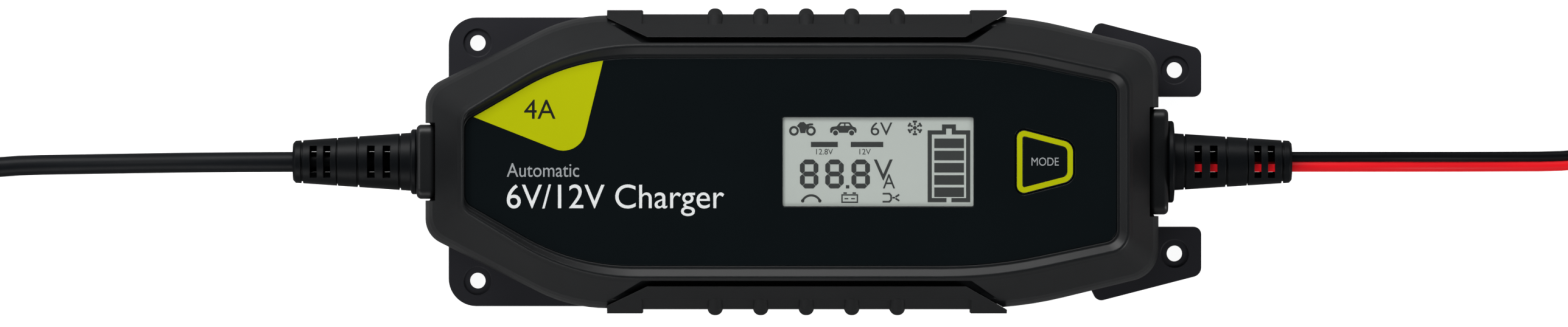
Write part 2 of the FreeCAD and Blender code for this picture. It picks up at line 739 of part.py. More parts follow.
MAINS_ROUTE = [(-114.4, 0, 22), (-158, 0, 22), (-200, -0.6, 8.2), (-236, -1.2, 3.9),
               (-255, -7.5, 3.8), (-273, -20.5, 3.8), (-293, -26.1, 3.8)]
MAINS_TAIL = [(-297, -26.1, 9.6), (-314, -26.1, 9.3), (-332, -26.1, 7.7), (-344, -26.1, 7.2)]
LEAD_ROUTE = [(114.4, 0, 22), (158, 0, 22), (200, 0, 8.2), (234, 0.2, 3.9),
              (252, 7.5, 3.8), (269, 19.5, 3.8), (285, 25.0, 3.8)]
LEAD_TAIL = [(289, 25.0, 9.6), (304, 25.0, 9.2), (322, 25.0, 6.6), (336, 25.0, 5.6)]


def coil(label, place, inner, diameter):
    """The outer shape of a round coil that lies flat."""
    x, y, outermost = place
    body = new_body(label)
    outer = outermost + diameter / 2
    height = size("coil_layers") * diameter
    ring = rectangle(inner, outer, 0, height, 2.2)
    sketch = new_sketch(body, "section", "XZ_Plane", "0", outline(ring))
    turned = body.newObject("PartDesign::Revolution", "turned")
    turned.Profile = sketch
    turned.ReferenceAxis = (sketch, ["V_Axis"])
    turned.Angle = 360
    body.Placement.Base = Vector(x, y, 0)
    body.setExpression("Placement.Base.z", "Sizes.coil_lift")


def coil_tie(label, place, inner, diameter, side):
    """A strap round the coil on the side that points away from the charger."""
    x, y, outermost = place
    low, high = inner - 1.7, outermost + diameter / 2 + 1.2
    height = size("coil_lift") + size("coil_layers") * diameter
    near, far = sorted((x + side * low, x + side * high))
    strap = Part.makeBox(far - near, 9, height + 0.9, Vector(near, y - 4.5, 0))
    hole = Part.makeBox(far - near - 1.8, 9, height - 0.8, Vector(near + 0.9, y - 4.5, 0.85))
    made(label, strap.cut(hole))


# -------------------------------------------- what is on the cords' far ends

PLUG_REAR = -342.0
PLUG_FACE = PLUG_REAR - 36
PLUG_WAIST = PLUG_REAR - 9
PLUG_SHOULDER = PLUG_REAR - 18
PLUG_Y = -26.1
PLUG_Z = 7.2
PIN_SPACING = 18.6


def soften(body, radius):
    """Round the level edges of a body's last feature."""
    DOC.recompute()
    last = body.Tip
    rims = [f"Edge{number}" for number, edge in enumerate(last.Shape.Edges, start=1)
            if edge.BoundBox.ZLength < 0.01]
    rounded = body.newObject("PartDesign::Fillet", "soft_edges")
    rounded.Base = (last, rims)
    rounded.Radius = radius


def mains_plug():
    """A flat two-pin plug: waisted body, two sleeves and two round pins."""
    body = new_body("plug_shell")
    plan = [(PLUG_REAR, -4.6, 2.0), (PLUG_REAR, 4.6, 2.0),
            (PLUG_WAIST, 7.4, 8.0), (PLUG_SHOULDER, 15.6, 6.0), (PLUG_FACE, 17.6, 1.6),
            (PLUG_FACE, -17.6, 1.6), (PLUG_SHOULDER, -15.6, 6.0), (PLUG_WAIST, -7.4, 8.0)]
    points = [(x, PLUG_Y + y, radius) for x, y, radius in reversed(plan)]
    pad(body, "shell", points, f"{PLUG_Z} - 6.9", "13.8")
    soften(body, 1.5)
    sides = (PIN_SPACING / 2, -PIN_SPACING / 2)
    pins, sleeves = [], []
    for side in sides:
        foot = Vector(PLUG_FACE, PLUG_Y + side, PLUG_Z)
        outwards = Vector(-1, 0, 0)
        sleeves.append(Part.makeCylinder(1.9, 10, foot, outwards))
        shank = Part.makeCylinder(1.4, 13, foot - outwards * 3, outwards)
        tip = Part.makeCylinder(2.0, 9, foot + outwards * 10, outwards)
        ends = [edge for edge in tip.Edges if edge.BoundBox.XMax < PLUG_FACE - 18]
        pins.append(shank.fuse(tip.makeFillet(1.6, ends)))
    shell = made("plug_sleeves", sleeves[0].fuse(sleeves[1]))
    whole = fuse("plug_with_sleeves", [body, shell])
    shanks = made("plug_shanks", Part.makeCompound(pins))
    cut("mains_plug", whole, shanks)
    made("mains_plug_pins", Part.makeCompound(pins))


CONNECTOR_REAR = 334.0
CONNECTOR_WAIST = CONNECTOR_REAR + 9
CONNECTOR_SHOULDER = CONNECTOR_REAR + 14
CONNECTOR_FACE = CONNECTOR_REAR + 28
CONNECTOR_Y = 25.0
CONNECTOR_Z = 5.6


def lead_connector():
    """A two-pole quick connector: one bare pin and one shrouded socket."""
    body = new_body("connector_shell")
    plan = [(CONNECTOR_REAR, -4.4, 1.5), (CONNECTOR_REAR, 4.4, 1.5),
            (CONNECTOR_WAIST, 5.0, 6.0), (CONNECTOR_SHOULDER, 9.4, 3.0),
            (CONNECTOR_FACE, 9.4, 0.8), (CONNECTOR_FACE, -9.4, 0.8),
            (CONNECTOR_SHOULDER, -9.4, 3.0), (CONNECTOR_WAIST, -5.0, 6.0)]
    points = [(x, CONNECTOR_Y + y, radius) for x, y, radius in plan]
    pad(body, "shell", points, f"{CONNECTOR_Z} - 5", "10")
    soften(body, 1.2)
    forward = Vector(1, 0, 0)
    shroud_foot = Vector(CONNECTOR_FACE - 1, CONNECTOR_Y + 4.7, CONNECTOR_Z)
    pin_foot = Vector(CONNECTOR_FACE - 3, CONNECTOR_Y - 4.7, CONNECTOR_Z)
    shroud = made("connector_shroud", Part.makeCylinder(4.2, 14, shroud_foot, forward))
    whole = fuse("connector_with_shroud", [body, shroud])
    sleeve_space = Part.makeCylinder(2.6, 16, shroud_foot - forward * 1.9, forward)
    pin = Part.makeCylinder(2.0, 15, pin_foot, forward)
    ends = [edge for edge in pin.Edges if edge.BoundBox.XMin > CONNECTOR_FACE + 11]
    pin = pin.makeFillet(1.0, ends)
    sleeve = Part.makeCylinder(2.6, 13, shroud_foot - forward * 1.9, forward)
    sleeve = sleeve.cut(Part.makeCylinder(2.05, 14, shroud_foot - forward * 0.9, forward))
    spaces = made("connector_spaces", sleeve_space.fuse(pin))
    cut("lead_connector", whole, spaces)
    made("connector_pin", pin)
    made("connector_sleeve", sleeve)


# ------------------------------------------------------------- electronics

BOARD = "(Sizes.main_board_level + Sizes.board_thickness)"


def boards():
    middle = 4.0
    half_length, half_width = size("main_board_length") / 2, size("main_board_width") / 2
    body = new_body("main_board")
    pad(body, "laminate", rectangle(middle - half_length, middle + half_length,
                                    -half_width, half_width, 2.0),
        "Sizes.main_board_level", "Sizes.board_thickness")
    drill(body, "holes", BOARD_SCREWS, "board_hole",
          "Sizes.main_board_level + Sizes.board_thickness", "3")
    body = new_body("display_board")
    pad(body, "laminate", rectangle(-12, -12 + size("display_board_length"),
                                    -size("display_board_width") / 2,
                                    size("display_board_width") / 2, 2.0),
        "Sizes.display_board_level", "Sizes.board_thickness")


# rectangular components on the main board: x from and to, y from and to, height,
# and how far up they start
COMPONENTS = {
    "filter_capacitor": (-41, -23, -24, -16, 15, 0),
    "bridge_rectifier": (-42, -27, 10, 14, 14, 0),
    "heat_sink": (-18, 62, 24, 26, 21, 0),
    "switching_transistor": (-10, 0, 19.4, 23.9, 16, 2),
    "output_rectifier": (40, 50, 19.4, 23.9, 16, 2),
    "transformer_winding": (-7, 15, -9, 9, 15.4, 3),
    "output_relay": (54, 73, -20, -5, 15, 0),
    "control_chip": (28, 38, 7, 14, 1.8, 0),
}
CORE_PARTS = {
    "core_top": (-12, 20, -7, 7, 4, 18.6),
    "core_bottom": (-12, 20, -7, 7, 2.8, 0),
    "core_left_leg": (-12, -7.4, -7, 7, 22.6, 0),
    "core_right_leg": (15.4, 20, -7, 7, 22.6, 0),
}


def part_box(label, left, right, front, back, height, lift):
    """A rectangular component that stands on the main board."""
    base = f"{BOARD} + {lift}"
    return box(label, (left, front, base), (right, back, f"{base} + {height}"))


def standing(label, spots, diameter, height):
    base = size("main_board_level") + size("board_thickness")
    items = []
    for index, (x, y) in enumerate(spots):
        name = label if len(spots) == 1 else f"{label}_{index}"
        items.append(cylinder(name, (x, y, base), diameter, height))
    return items[0] if len(items) == 1 else group(label, items)


def electronics():
    base = size("main_board_level") + size("board_thickness")
    cylinder("mains_fuse", (-66, -18, base + 3), 5.2, 20, Vector(1, 0, 0))
    core = named("Part::Torus", "choke_core")
    core.Radius1 = 6.0
    core.Radius2 = 3.0
    core.Placement.Base = Vector(-56, 4, base + 3.1)
    core.Label = "input_choke"
    standing("bulk_capacitor", [(-30, -4)], 16, 22)
    standing("output_capacitors", [(34, -16), (34, -4), (46, -16)], 10, 18)
    for label, place in COMPONENTS.items():
        part_box(label, *place)
    fuse("transformer_core", [part_box(label, *place) for label, place in CORE_PARTS.items()])
    reach = size("display_board_level") - base - 0.4
    made("ribbon_cable", Part.makeBox(0.6, 14, reach, Vector(66, -2, base + 0.2)))


def screws():
    """Countersunk-free pan head screws, one node for each size."""
    case_items, board_items = [], []
    for x, y in CASE_SCREWS:
        level = size("screw_head_level")
        head = Part.makeCylinder(size("case_screw_head") / 2, 2.4, Vector(x, y, level - 2.45))
        shank = Part.makeCylinder(1.4, 25, Vector(x, y, level - 0.2))
        cross = Part.makeBox(4, 0.9, 1.3, Vector(x - 2, y - 0.45, level - 2.45))
        other = Part.makeBox(0.9, 4, 1.3, Vector(x - 0.45, y - 2, level - 2.45))
        case_items.append(head.fuse(shank).cut(cross).cut(other))
    for x, y in BOARD_SCREWS:
        level = size("main_board_level") + size("board_thickness")
        head = Part.makeCylinder(2.6, 1.8, Vector(x, y, level))
        shank = Part.makeCylinder(1.15, 4.8, Vector(x, y, level - 4.8))
        board_items.append(head.fuse(shank))
    made("case_screws", Part.makeCompound(case_items))
    made("board_screws", Part.makeCompound(board_items))


def inner_wires():
    level = size("cord_level")
    mains, lead = [], []
    for side in (1, -1):
        mains.append([(-104, side * 1.4, level), (-93, side * 1.6, level),
                      (-82, side * 4, 18.5), (-72, side * 7, 13.5), (-67, side * 8, 9.9)])
        lead.append([(104, side * 1.45, level), (95, side * 1.6, level),
                     (86, side * 3, 18.5), (79.5, side * 4.6, 13.5), (75.8, side * 5.2, 9.9)])
    tube("mains_inner_wires", mains, 2.4)
    tube("lead_inner_wires", lead, 2.6)


# ------------------------------------------------------------ whole charger

def build():
    fill_sheet()
    lower_case()
    upper_case()
    case_seal()
    grips()
    front_panel()
    rating_badge()
    display()
    mode_key()
    gland("mains_gland", -1, size("mains_gland_half"))
    gland("lead_gland", 1, size("lead_gland_half"))
    boot("mains_boot", -1, 9.4, 8.4)
    boot("lead_boot", 1, 11.8, 8.25)
    tube("mains_cord", [MAINS_ROUTE], size("mains_cord_size"))
    tube("mains_cord_tail", [MAINS_TAIL], size("mains_cord_size"))
    tube("battery_lead", [LEAD_ROUTE], size("lead_size"))
    tube("battery_lead_tail", [LEAD_TAIL], size("lead_size"))
    coil("mains_cord_coil", MAINS_COIL, 21.4, size("mains_cord_size"))
    coil("battery_lead_coil", LEAD_COIL, 26.3, size("lead_size"))
    coil_tie("mains_cord_tie", MAINS_COIL, 21.4, size("mains_cord_size"), -1)
    coil_tie("battery_lead_tie", LEAD_COIL, 26.3, size("lead_size"), 1)
    mains_plug()
    lead_connector()
    boards()
    electronics()
    screws()
    inner_wires()
    DOC.recompute()


INTERMEDIATE = {
    "seal_strip", "seal_ends",
    "lower_case_shell", "lower_case_seats", "upper_case_shell", "upper_case_seats",
    "plug_shell", "plug_sleeves", "plug_with_sleeves", "plug_shanks",
    "connector_shell", "connector_shroud", "connector_with_shroud", "connector_spaces",
    "core_top", "core_bottom", "core_left_leg", "core_right_leg",
    "output_capacitors_0", "output_capacitors_1", "output_capacitors_2",
}


def finished_nodes():
    """Every sub-part that is a piece of its own, after checking the document."""
    for item in DOC.Objects:
        if "Invalid" in item.State or "Error" in item.State:
            raise RuntimeError(f"{item.Label} failed: {item.State}")
    inside = set()
    for item in DOC.Objects:
        if item.TypeId == "PartDesign::Body":
            inside.update(member.Name for member in item.Group)
    nodes = []
    for item in DOC.Objects:
        own = hasattr(item, "Shape") and item.Name not in inside
        if own and item.Label not in INTERMEDIATE and not item.TypeId.startswith("App::"):
            nodes.append(item)
    return nodes


def write_nodes():
    os.makedirs("parts", exist_ok=True)
    for item in finished_nodes():
        shape = item.Shape
        if shape.isNull() or not shape.isValid() or not shape.Solids:
            raise RuntimeError(f"{item.Label} has no valid solid")
        bounds = shape.BoundBox
        print(f"{item.Label:24s} {len(shape.Solids)} solid(s) {shape.Volume:9.0f} mm3  "
              f"x {bounds.XMin:.1f} {bounds.XMax:.1f}  y {bounds.YMin:.1f} {bounds.YMax:.1f}  "
              f"z {bounds.ZMin:.1f} {bounds.ZMax:.1f}")
        shape.exportStep(f"parts/{item.Label}.step")


build()
write_nodes()
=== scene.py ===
import json
import math

import bmesh
import bpy
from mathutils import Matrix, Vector


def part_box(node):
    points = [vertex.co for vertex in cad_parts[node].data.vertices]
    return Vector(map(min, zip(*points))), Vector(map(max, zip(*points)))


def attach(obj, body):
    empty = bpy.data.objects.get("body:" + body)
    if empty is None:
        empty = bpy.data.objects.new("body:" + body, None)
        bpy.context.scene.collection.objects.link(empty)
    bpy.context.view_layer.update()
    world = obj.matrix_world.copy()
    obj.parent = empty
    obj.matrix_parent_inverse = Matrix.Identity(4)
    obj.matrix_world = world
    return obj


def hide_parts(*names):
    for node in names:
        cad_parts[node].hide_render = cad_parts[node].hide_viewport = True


MM = 0.001

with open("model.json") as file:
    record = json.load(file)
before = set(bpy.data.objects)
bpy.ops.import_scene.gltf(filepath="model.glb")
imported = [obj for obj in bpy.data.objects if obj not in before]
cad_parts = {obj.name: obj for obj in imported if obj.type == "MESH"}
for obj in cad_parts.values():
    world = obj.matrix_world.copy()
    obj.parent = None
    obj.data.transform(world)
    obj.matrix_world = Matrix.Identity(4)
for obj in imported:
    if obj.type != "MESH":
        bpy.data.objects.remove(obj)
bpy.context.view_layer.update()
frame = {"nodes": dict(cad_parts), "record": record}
nodes = frame["nodes"]
scene = bpy.context.scene


# ------------------------------------------------------------ small helpers

def corners(node):
    """Lowest and highest corner of a CAD node."""
    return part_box(node)


def link(name, data):
    piece = bpy.data.objects.new(name, data)
    scene.collection.objects.link(piece)
    return piece


def mesh_piece(name, mesh_maker):
    """A new object from a bmesh that mesh_maker fills."""
    shape = bmesh.new()
    mesh_maker(shape)
    bmesh.ops.recalc_face_normals(shape, faces=shape.faces)
    mesh = bpy.data.meshes.new(name)
    shape.to_mesh(mesh)
    shape.free()
    return link(name, mesh)


def dress(piece, material, body="charger"):
    """Give a new piece its material and the body that it rides on."""
    piece.data.materials.clear()
    piece.data.materials.append(material)
    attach(piece, body)
    return piece


# ---------------------------------------------------------------- camera

VIEW_WIDTH = 450.8 * MM
VIEW_CENTRE = (-2.4 * MM, -0.5 * MM)
SENSOR = 36.0
LENS = 200.0


def make_camera():
    """Straight above the case, with the mains end at the left."""
    data = bpy.data.cameras.new("camera")
    data.sensor_width = SENSOR
    data.lens = LENS
    camera = link("camera", data)
    mid_height = 30 * MM
    distance = VIEW_WIDTH * LENS / SENSOR
    camera.location = (*VIEW_CENTRE, mid_height + distance)
    camera.rotation_euler = (0, 0, 0)
    scene.camera = camera


# ------------------------------------------------------------- materials

def new_material(name):
    material = bpy.data.materials.new(name)
    material.use_nodes = True
    tree = material.node_tree
    return material, tree, tree.nodes["Principled BSDF"]


def add(tree, kind, **inputs):
    """Add a node and set its inputs by name."""
    node = tree.nodes.new(kind)
    for key, value in inputs.items():
        node.inputs[key.replace("_", " ")].default_value = value
    return node


def shade(value):
    return (*value, 1.0) if len(value) == 3 else tuple(value)


def plastic(name, colour, roughness, grain=2600.0, depth=0.08, vary=0.18,
            rounding=0.35 * MM, specular=0.5, blotch=35.0):
    """Moulded plastic or rubber: fine spark-eroded grain, faint mottling and
    softened edges. grain is in features per metre."""
    material, tree, shader = new_material(name)
    where = add(tree, "ShaderNodeTexCoord")
    fine = add(tree, "ShaderNodeTexNoise", Scale=grain, Detail=3.0, Roughness=0.6)
    broad = add(tree, "ShaderNodeTexNoise", Scale=blotch, Detail=2.0, Roughness=0.5)
    tree.links.new(where.outputs["Object"], fine.inputs["Vector"])
    tree.links.new(where.outputs["Object"], broad.inputs["Vector"])
    tone = add(tree, "ShaderNodeValToRGB")
    low = tuple(channel * (1 - vary) for channel in colour[:3])
    high = tuple(min(channel * (1 + vary), 1) for channel in colour[:3])
    tone.color_ramp.elements[0].color = shade(low)
    tone.color_ramp.elements[0].position = 0.3
    tone.color_ramp.elements[1].color = shade(high)
    tone.color_ramp.elements[1].position = 0.7
    tree.links.new(broad.outputs["Fac"], tone.inputs["Fac"])
    tree.links.new(tone.outputs["Color"], shader.inputs["Base Color"])
    polish = add(tree, "ShaderNodeMapRange")
    polish.inputs["To Min"].default_value = max(roughness - 0.06, 0.02)
    polish.inputs["To Max"].default_value = roughness + 0.06
    tree.links.new(fine.outputs["Fac"], polish.inputs["Value"])
    tree.links.new(polish.outputs["Result"], shader.inputs["Roughness"])
    edge = add(tree, "ShaderNodeBevel", Radius=rounding)
    edge.samples = 4
    bump = add(tree, "ShaderNodeBump", Strength=depth, Distance=0.05 * MM)
    tree.links.new(fine.outputs["Fac"], bump.inputs["Height"])
    tree.links.new(edge.outputs["Normal"], bump.inputs["Normal"])
    tree.links.new(bump.outputs["Normal"], shader.inputs["Normal"])
    shader.inputs["Specular IOR Level"].default_value = specular
    return material


def metal(name, colour, roughness, grain=400.0):
    """Plated or drawn metal with faint brushing."""
    material, tree, shader = new_material(name)
    where = add(tree, "ShaderNodeTexCoord")
    stretch = add(tree, "ShaderNodeMapping")
    stretch.inputs["Scale"].default_value = (grain / 12, grain, grain)
    streak = add(tree, "ShaderNodeTexNoise", Scale=4.0, Detail=4.0)
    tree.links.new(where.outputs["Object"], stretch.inputs["Vector"])
    tree.links.new(stretch.outputs["Vector"], streak.inputs["Vector"])
    tone = add(tree, "ShaderNodeValToRGB")
    tone.color_ramp.elements[0].color = shade(tuple(c * 0.85 for c in colour))
    tone.color_ramp.elements[1].color = shade(colour)
    tree.links.new(streak.outputs["Fac"], tone.inputs["Fac"])
    tree.links.new(tone.outputs["Color"], shader.inputs["Base Color"])
    polish = add(tree, "ShaderNodeMapRange")
    polish.inputs["To Min"].default_value = roughness
    polish.inputs["To Max"].default_value = roughness + 0.12
    tree.links.new(streak.outputs["Fac"], polish.inputs["Value"])
    tree.links.new(polish.outputs["Result"], shader.inputs["Roughness"])
    edge = add(tree, "ShaderNodeBevel", Radius=0.15 * MM)
    tree.links.new(edge.outputs["Normal"], shader.inputs["Normal"])
    shader.inputs["Metallic"].default_value = 1.0
    return material


def clear(name, colour, opacity):
    """A thin clear cover with a faint tint."""
    material, tree, shader = new_material(name)
    where = add(tree, "ShaderNodeTexCoord")
    haze = add(tree, "ShaderNodeTexNoise", Scale=60.0, Detail=2.0)
    tree.links.new(where.outputs["Object"], haze.inputs["Vector"])
    polish = add(tree, "ShaderNodeMapRange")
    polish.inputs["To Min"].default_value = 0.03
    polish.inputs["To Max"].default_value = 0.07
    tree.links.new(haze.outputs["Fac"], polish.inputs["Value"])
    tree.links.new(polish.outputs["Result"], shader.inputs["Roughness"])
    shader.inputs["Base Color"].default_value = shade(colour)
    shader.inputs["Alpha"].default_value = opacity
    shader.inputs["Specular IOR Level"].default_value = 0.25
    return material


def make_materials():
    """One material for each slot of the record, and the extra print colours."""
    black = (0.0125, 0.0128, 0.0135)
    return {
        "case_plastic": plastic("case_plastic", (0.0075, 0.0082, 0.009), 0.37, depth=0.10,
                                rounding=0.5 * MM, specular=0.36),
        "base_plastic": plastic("base_plastic", (0.017, 0.017, 0.0215), 0.55, depth=0.14,
                                specular=0.3),
        "seal_rubber": plastic("seal_rubber", (0.05, 0.05, 0.05), 0.7),
        "grip_rubber": plastic("grip_rubber", (0.006, 0.0065, 0.0072), 0.44, grain=1800.0,
                               depth=0.16, specular=0.32),
        "panel_gloss": plastic("panel_gloss", (0.0035, 0.0055, 0.0065), 0.16, depth=0.01,
                               vary=0.06, rounding=0.6 * MM, specular=0.32),
        "lime_print": plastic("lime_print", (0.475, 0.51, 0.0), 0.32, depth=0.03, vary=0.03,
                              rounding=0.05 * MM, specular=0.3),
        "lcd_lens": clear("lcd_lens", (0.8, 0.85, 0.82), 0.02),
        "lcd_glass": plastic("lcd_glass", (0.49, 0.53, 0.495), 0.38, depth=0.02, vary=0.035,
                             rounding=0.05 * MM, blotch=18.0),
        "white_plastic": plastic("white_plastic", (0.75, 0.75, 0.73), 0.5),
        "component_plastic": plastic("component_plastic", black, 0.5),
        "gland_plastic": plastic("gland_plastic", (0.0095, 0.010, 0.0108), 0.38,
                                 rounding=0.5 * MM, specular=0.32),
        "boot_rubber": plastic("boot_rubber", (0.0024, 0.0032, 0.0042), 0.44, grain=1500.0,
                               depth=0.12, rounding=0.4 * MM, specular=0.14),
        "cord_sheath": plastic("cord_sheath", (0.004, 0.005, 0.0065), 0.44, grain=900.0,
                               depth=0.10, rounding=0.1 * MM, specular=0.14),
        "lead_sheath": plastic("lead_sheath", (0.92, 0.010, 0.018), 0.40, grain=900.0,
                               depth=0.06, vary=0.06, rounding=0.1 * MM, specular=0.2),
        "lead_black": plastic("lead_black", (0.003, 0.0034, 0.0045), 0.42, grain=900.0,
                              depth=0.06, rounding=0.1 * MM, specular=0.12),
        "tie_strap": woven("tie_strap", (0.012, 0.012, 0.013)),
        "plug_plastic": plastic("plug_plastic", (0.0105, 0.011, 0.012), 0.42,
                                rounding=0.6 * MM),
        "nickel_brass": metal("nickel_brass", (0.78, 0.74, 0.66), 0.18),
        "board_laminate": plastic("board_laminate", (0.012, 0.12, 0.04), 0.3, grain=500.0),
        "fuse_glass": clear("fuse_glass", (0.85, 0.9, 0.9), 0.35),
        "ferrite": plastic("ferrite", (0.03, 0.03, 0.032), 0.6, grain=1200.0, depth=0.2),
        "component_yellow": plastic("component_yellow", (0.62, 0.42, 0.03), 0.35),
        "capacitor_sleeve": plastic("capacitor_sleeve", (0.012, 0.02, 0.09), 0.3),
        "heat_sink_metal": metal("heat_sink_metal", (0.72, 0.73, 0.75), 0.32),
        "copper_winding": metal("copper_winding", (0.72, 0.34, 0.13), 0.3, grain=1500.0),
        "ribbon": plastic("ribbon", (0.42, 0.42, 0.44), 0.4),
        "screw_steel": metal("screw_steel", (0.62, 0.62, 0.63), 0.28),
        "wire_brown": plastic("wire_brown", (0.12, 0.04, 0.012), 0.4),
        "wire_red": plastic("wire_red", (0.5, 0.02, 0.02), 0.4),
        "white_print": plastic("white_print", (0.82, 0.84, 0.84), 0.4, depth=0.0, vary=0.02,
                               rounding=0.02 * MM),
        "grey_print": plastic("grey_print", (0.36, 0.38, 0.39), 0.4, depth=0.0, vary=0.02,
                              rounding=0.02 * MM),
        "black_print": plastic("black_print", (0.008, 0.009, 0.007), 0.4, depth=0.0,
                               vary=0.05, rounding=0.02 * MM),
        "lcd_ink": plastic("lcd_ink", (0.012, 0.014, 0.014), 0.4, depth=0.0, vary=0.06,
                           rounding=0.02 * MM),
    }


def woven(name, colour):
    """Hook-and-loop strap: a fine plain weave."""
    material, tree, shader = new_material(name)
    where = add(tree, "ShaderNodeTexCoord")
    weave = add(tree, "ShaderNodeTexWave", Scale=900.0, Distortion=1.0)
    tree.links.new(where.outputs["Object"], weave.inputs["Vector"])
    tone = add(tree, "ShaderNodeValToRGB")
    tone.color_ramp.elements[0].color = shade(tuple(c * 0.6 for c in colour))
    tone.color_ramp.elements[1].color = shade(tuple(c * 1.5 for c in colour))
    tree.links.new(weave.outputs["Fac"], tone.inputs["Fac"])
    tree.links.new(tone.outputs["Color"], shader.inputs["Base Color"])
    bump = add(tree, "ShaderNodeBump", Strength=0.5, Distance=0.2 * MM)
    tree.links.new(weave.outputs["Fac"], bump.inputs["Height"])
    tree.links.new(bump.outputs["Normal"], shader.inputs["Normal"])
    shader.inputs["Roughness"].default_value = 0.9
    shader.inputs["Sheen Weight"].default_value = 0.3
    return material


def dress_cad_nodes(materials):
    """Every CAD node takes its slot's material."""
    for part in frame["record"]["subparts"]:
        data = nodes[part["node"]].data
        data.materials.clear()
        data.materials.append(materials[part["material_slot"]])


# ---------------------------------------------------------------- cords

def millimetres(points):
    return [Vector(point) * MM for point in points]


def spline_curve(name, points):
    """A curve of one open NURBS spline with these control points."""
    curve = bpy.data.curves.new(name, "CURVE")
    curve.dimensions = "3D"
    spline = curve.splines.new("NURBS")
    spline.points.add(len(points) - 1)
    for point, place in zip(spline.points, points):
        point.co = (*place, 1.0)
    spline.order_u = 3
    spline.use_endpoint_u = True
    spline.resolution_u = 5
    return curve


def sampled(name, points):
    """Points read from the smooth line through a route."""
    curve = spline_curve(name, points)
    carrier = bpy.data.objects.new(name, curve)
    mesh = bpy.data.meshes.new_from_object(carrier)
    path = [vertex.co.copy() for vertex in mesh.vertices]
    bpy.data.objects.remove(carrier)
    bpy.data.curves.remove(curve)
    bpy.data.meshes.remove(mesh)
    return path


def ramp(value, low, high):
    """0 below low, 1 above high and smooth between."""
    share = min(max((value - low) / (high - low), 0), 1)
    return share * share * (3 - 2 * share)


COIL_STEPS = 20
COIL_TURNS = 7
COIL_WRAPS = 4


def coil_points(centre, radius, pitch, level, rise, start):
    """Two layers of clockwise turns: inwards on the lower layer, outwards on the
    upper one, from the angle 'start' and back to it."""
    points = []
    for index in range(COIL_TURNS * COIL_STEPS + 1):
        turn = index / COIL_STEPS
        step = 0.0
        for inner in range(1, COIL_WRAPS):
            step += ramp(turn, inner - 1 / 6, inner)
            step -= ramp(turn, COIL_WRAPS + inner - 0.5, COIL_WRAPS + inner - 1 / 3)
        reach = radius - pitch * step
        height = level + rise * ramp(turn, COIL_WRAPS - 1 / 3, COIL_WRAPS - 1 / 6)
        angle = start - turn * math.tau
        points.append((centre[0] + reach * math.cos(angle),
                       centre[1] + reach * math.sin(angle), height))
    return points


def frames(path):
    """The direction, the level side and the upward side at each path point."""
    found = []
    for index, place in enumerate(path):
        ahead = path[min(index + 1, len(path) - 1)] - path[max(index - 1, 0)]
        ahead.normalize()
        side = Vector((0, 0, 1)).cross(ahead).normalized()
        found.append((place, side, ahead.cross(side)))
    return found


def sweep(shape, path, section, lean=None):
    """A closed tube: the section's (side, up) points carried along the path and
    leant over by lean(distance from the start, distance to the end) radians."""
    rings = []
    whole = path_length(path)
    travelled = 0.0
    last = path[0]
    for place, side, up in frames(path):
        travelled += (place - last).length
        last = place
        angle = lean(travelled, whole - travelled) if lean else 0.0
        wide = side * math.cos(angle) + up * math.sin(angle)
        high = up * math.cos(angle) - side * math.sin(angle)
        rings.append([shape.verts.new(place + wide * a + high * b) for a, b in section])
    faces = []
    for first, second in zip(rings, rings[1:]):
        for index in range(len(section)):
            after = (index + 1) % len(section)
            faces.append(shape.faces.new((first[index], first[after],
                                          second[after], second[index])))
    for face in faces:
        face.smooth = True
    shape.faces.new(rings[0][::-1])
    shape.faces.new(rings[-1])


CORD_SIZE = 5.8 * MM
LAYER = 5.8
LOW_LAYER = 3.8
MAINS_ROUTE = [(-114.4, 0, 22), (-158, 0, 22), (-200, -0.6, 8.2), (-236, -1.2, 3.9),
               (-255, -7.5, 3.8), (-273, -20.5, 3.8), (-293, -26.1, 3.8)]
MAINS_COIL = coil_points((-295, 16), 42.1, 5.9, LOW_LAYER, LAYER, -math.pi / 2)
MAINS_TAIL = [(-297, -26.1, 9.6), (-314, -26.1, 9.3), (-332, -26.1, 7.7),
              (-344, -26.1, 7.2)]
LEAD_ROUTE = [(114.4, 0, 22), (158, 0, 22), (200, 0, 8.2), (234, 0.2, 3.9),
              (252, 7.5, 3.8), (269, 19.5, 3.8), (285, 25.0, 3.8)]
LEAD_COIL = coil_points((287, -12), 37.0, 3.0, LOW_LAYER, LAYER, math.pi / 2)
LEAD_TAIL = [(289, 25.0, 9.6), (304, 25.0, 9.2), (322, 25.0, 6.6), (336, 25.0, 5.6)]


def path_length(path):
    return sum((b - a).length for a, b in zip(path, path[1:]))


def mains_cord(materials):
    """A round black cord."""
    path = sampled("mains_line", millimetres(MAINS_ROUTE + MAINS_COIL + MAINS_TAIL))
    sides = 18
    section = [(CORD_SIZE / 2 * math.cos(i * math.tau / sides),
                CORD_SIZE / 2 * math.sin(i * math.tau / sides)) for i in range(sides)]
    cord = mesh_piece("mains_cord_sheath", lambda shape: sweep(shape, path, section))
    dress(cord, materials["cord_sheath"])
    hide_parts("mains_cord", "mains_cord_coil", "mains_cord_tail")
    tie = coil_strap("mains_cord_strap", "mains_cord_tie", materials)


CORE_RADIUS = 1.5 * MM
CORE_OFFSET = 1.4 * MM
CORE_STEPS = 12
# the flat lead turns on edge between these distances from the case
LEAN_FROM, LEAN_TO = 0.122, 0.166
# and flat again between these distances from the connector
FLAT_FROM, FLAT_TO = 0.040, 0.012


def lead_lean(travelled, left):
    """Flat near the case and at the connector; on edge in the coil."""
    share = ramp(travelled, LEAN_FROM, LEAN_TO) * ramp(left, FLAT_TO, FLAT_FROM)
    return share * math.pi / 2


def core_arc(centre, start, stop, count):
    return [(centre + CORE_RADIUS * math.cos(start + (stop - start) * i / count),
             CORE_RADIUS * math.sin(start + (stop - start) * i / count))
            for i in range(count + 1)]


